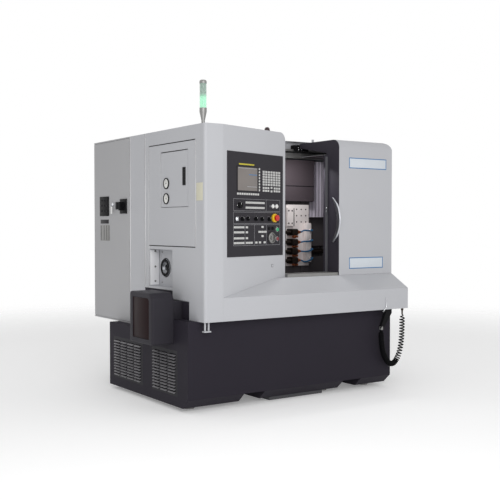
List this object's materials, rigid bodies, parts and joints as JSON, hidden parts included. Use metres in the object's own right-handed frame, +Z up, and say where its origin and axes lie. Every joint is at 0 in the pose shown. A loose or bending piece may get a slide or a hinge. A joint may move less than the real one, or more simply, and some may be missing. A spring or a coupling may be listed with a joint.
{
  "type": "cnc turning lathe",
  "caption": "Enclosed CNC turning lathe with a charcoal base, light grey covers, an angled control console, a sliding door, gang tooling inside and a signal light.",
  "frame": {"origin": "on the floor, in the middle of the machine's outline", "axes": "+Z up, -Y towards the operator, +X along the spindle towards the tailstock end"},
  "size_m": [1.978, 1.646, 2.106],
  "materials": {
    "cover_grey": "smooth powder coat",
    "base_charcoal": "fine texture paint",
    "vent_black": "matt paint",
    "foot_steel": "zinc plated",
    "tank_grey": "matt paint",
    "cast_green_grey": "painted casting",
    "ground_steel": "ground",
    "bright_steel": "polished",
    "motor_black": "semi-matt paint",
    "belt_rubber": "moulded",
    "liner_grey": "satin paint",
    "bellows_grey": "coated cloth",
    "panel_black": "fine texture",
    "display_glass": "screen",
    "key_white": "keycap",
    "knob_black": "moulded",
    "button_green": "lit cap",
    "button_red": "cap",
    "button_white": "lit cap",
    "door_dark": "satin paint",
    "handle_aluminium": "anodised",
    "gauge_black": "moulded rim",
    "light_grey_plastic": "moulded",
    "light_lens": "translucent lens",
    "hose_blue": "tube",
    "hose_black": "coiled tube",
    "brass_fitting": "turned",
    "gun_black": "moulded"
  },
  "bodies": {
    "machine": {"base_frame": "base_charcoal", "levelling_feet": "foot_steel", "vent_panels": "vent_black", "motor_cover": "base_charcoal", "bed_casting": "cast_green_grey", "headstock": "cast_green_grey", "drive_belt": "belt_rubber", "spindle_motor": "motor_black", "z_servo_motor": "motor_black", "left_cover": "cover_grey", "service_cover": "cover_grey", "console_housing": "cover_grey", "control_panel": "panel_black", "display": "display_glass", "panel_keys": "key_white", "front_apron": "cover_grey", "door_rails": "ground_steel", "roof_cover": "cover_grey", "right_enclosure": "cover_grey", "work_area_liner": "liner_grey", "electrical_cabinet": "cover_grey", "stack_light_base": "light_grey_plastic", "stack_light_lenses": "light_lens", "hose_fitting": "brass_fitting", "air_gun": "gun_black", "air_hose": "hose_black"},
    "door": {"door_shell": "cover_grey", "door_end_plate": "door_dark", "door_handle": "handle_aluminium", "door_carriage": "knob_black"},
    "spindle_body": {"spindle": "bright_steel", "draw_cylinder": "ground_steel", "spindle_pulley": "ground_steel"},
    "motor_shaft": {"motor_pulley": "ground_steel"},
    "saddle_body": {"saddle": "cast_green_grey", "saddle_cover": "liner_grey", "bellows": "bellows_grey"},
    "z_screw": {"z_ball_screw": "bright_steel"},
    "cross_slide": {"gang_slide": "ground_steel", "tool_holders": "ground_steel", "coolant_lines": "hose_blue"},
    "gauge_door_body": {"gauge_door": "cover_grey", "pressure_gauges": "gauge_black"},
    "gauge_latch": {"gauge_door_latch": "gauge_black"},
    "cabinet_door_body": {"cabinet_door": "cover_grey"},
    "isolator": {"isolator_handle": "knob_black"},
    "tank": {"coolant_tank": "tank_grey"},
    "estop": {"estop_button": "button_red"},
    "start": {"start_button": "button_green"},
    "hold": {"hold_button": "button_red"},
    "power_on": {"power_on_button": "button_white"},
    "power_off": {"power_off_button": "button_white"},
    "key_switch_body": {"key_switch": "bright_steel"},
    "dial": {"mode_dial": "knob_black"},
    "switch_one": {"knob_one": "knob_black"},
    "switch_two": {"knob_two": "knob_black"},
    "switch_three": {"knob_three": "knob_black"},
    "switch_four": {"knob_four": "knob_black"},
    "switch_five": {"knob_five": "knob_black"},
    "wheel": {"handwheel": "knob_black"}
  },
  "joints": [
    {"name": "door_slide", "type": "slide", "parent": "machine", "child": "door", "axis": [-1, 0, 0], "range_m": [0, 0.428]},
    {"name": "spindle_turn", "type": "hinge", "parent": "machine", "child": "spindle_body", "pos_m": [-0.361, -0.185, 0.9], "axis": [1, 0, 0], "continuous": true},
    {"name": "motor_turn", "type": "hinge", "parent": "machine", "child": "motor_shaft", "pos_m": [-0.611, -0.398, 0.575], "axis": [1, 0, 0], "continuous": true},
    {"name": "saddle_travel", "type": "slide", "parent": "machine", "child": "saddle_body", "axis": [1, 0, 0], "range_m": [-0.3, 0.12], "deforming": ["bellows"]},
    {"name": "screw_turn", "type": "hinge", "parent": "machine", "child": "z_screw", "pos_m": [0.239, -0.013, 0.985], "axis": [1, 0, 0], "range_deg": [-4400, 10900]},
    {"name": "gang_travel", "type": "slide", "parent": "saddle_body", "child": "cross_slide", "axis": [0, 0, 1], "range_m": [-0.15, 0.06]},
    {"name": "gauge_door_turn", "type": "hinge", "parent": "machine", "child": "gauge_door_body", "pos_m": [-0.7595, -0.267, 1.493], "axis": [0, 0, -1], "range_deg": [0, 100]},
    {"name": "latch_turn", "type": "hinge", "parent": "gauge_door_body", "child": "gauge_latch", "pos_m": [-0.757, -0.568, 1.556], "axis": [0, 1, 0], "range_deg": [0, 40]},
    {"name": "cabinet_door_turn", "type": "hinge", "parent": "machine", "child": "cabinet_door_body", "pos_m": [-0.752, 0.811, 1.155], "axis": [0, 0, -1], "range_deg": [0, 110]},
    {"name": "isolator_turn", "type": "hinge", "parent": "cabinet_door_body", "child": "isolator", "pos_m": [-0.761, 0.309, 1.33], "axis": [-1, 0, 0], "range_deg": [0, 90]},
    {"name": "tank_slide", "type": "slide", "parent": "machine", "child": "tank", "axis": [0, 1, 0], "range_m": [0, 0.5]},
    {"name": "estop_press", "type": "slide", "parent": "machine", "child": "estop", "axis": [-0.309, 0.9511, 0], "range_m": [0, 0.006]},
    {"name": "start_press", "type": "slide", "parent": "machine", "child": "start", "axis": [-0.309, 0.9511, 0], "range_m": [0, 0.004], "stiffness_N_per_m": 400},
    {"name": "hold_press", "type": "slide", "parent": "machine", "child": "hold", "axis": [-0.309, 0.9511, 0], "range_m": [0, 0.004], "stiffness_N_per_m": 400},
    {"name": "power_on_press", "type": "slide", "parent": "machine", "child": "power_on", "axis": [-0.309, 0.9511, 0], "range_m": [0, 0.004], "stiffness_N_per_m": 400},
    {"name": "power_off_press", "type": "slide", "parent": "machine", "child": "power_off", "axis": [-0.309, 0.9511, 0], "range_m": [0, 0.004], "stiffness_N_per_m": 400},
    {"name": "switch_one_turn", "type": "hinge", "parent": "machine", "child": "switch_one", "pos_m": [-0.44646, -0.76709, 1.23207], "axis": [0.309, -0.9511, 0], "range_deg": [-45, 45]},
    {"name": "switch_two_turn", "type": "hinge", "parent": "machine", "child": "switch_two", "pos_m": [-0.38998, -0.74874, 1.23343], "axis": [0.309, -0.9511, 0], "range_deg": [-45, 45]},
    {"name": "switch_three_turn", "type": "hinge", "parent": "machine", "child": "switch_three", "pos_m": [-0.30814, -0.72215, 1.23343], "axis": [0.309, -0.9511, 0], "range_deg": [-45, 45]},
    {"name": "switch_four_turn", "type": "hinge", "parent": "machine", "child": "switch_four", "pos_m": [-0.24417, -0.70136, 1.23207], "axis": [0.309, -0.9511, 0], "range_deg": [-45, 45]},
    {"name": "switch_five_turn", "type": "hinge", "parent": "machine", "child": "switch_five", "pos_m": [-0.16751, -0.67646, 1.23207], "axis": [0.309, -0.9511, 0], "range_deg": [-45, 45]},
    {"name": "key_turn", "type": "hinge", "parent": "machine", "child": "key_switch_body", "pos_m": [-0.5041, -0.78582, 1.23207], "axis": [0.309, -0.9511, 0], "range_deg": [-90, 0]},
    {"name": "dial_turn", "type": "hinge", "parent": "machine", "child": "dial", "pos_m": [-0.47125, -0.77514, 1.32008], "axis": [0.309, -0.9511, 0], "range_deg": [-120, 120]},
    {"name": "wheel_turn", "type": "hinge", "parent": "machine", "child": "wheel", "pos_m": [-0.14446, -0.66897, 1.10615], "axis": [0.309, -0.9511, 0], "continuous": true}
  ],
  "couplings": [
    {"joint": "motor_turn", "follows": "spindle_turn", "ratio": 1.5833},
    {"joint": "screw_turn", "follows": "saddle_travel", "rad_per_m": -628.32}
  ]
}
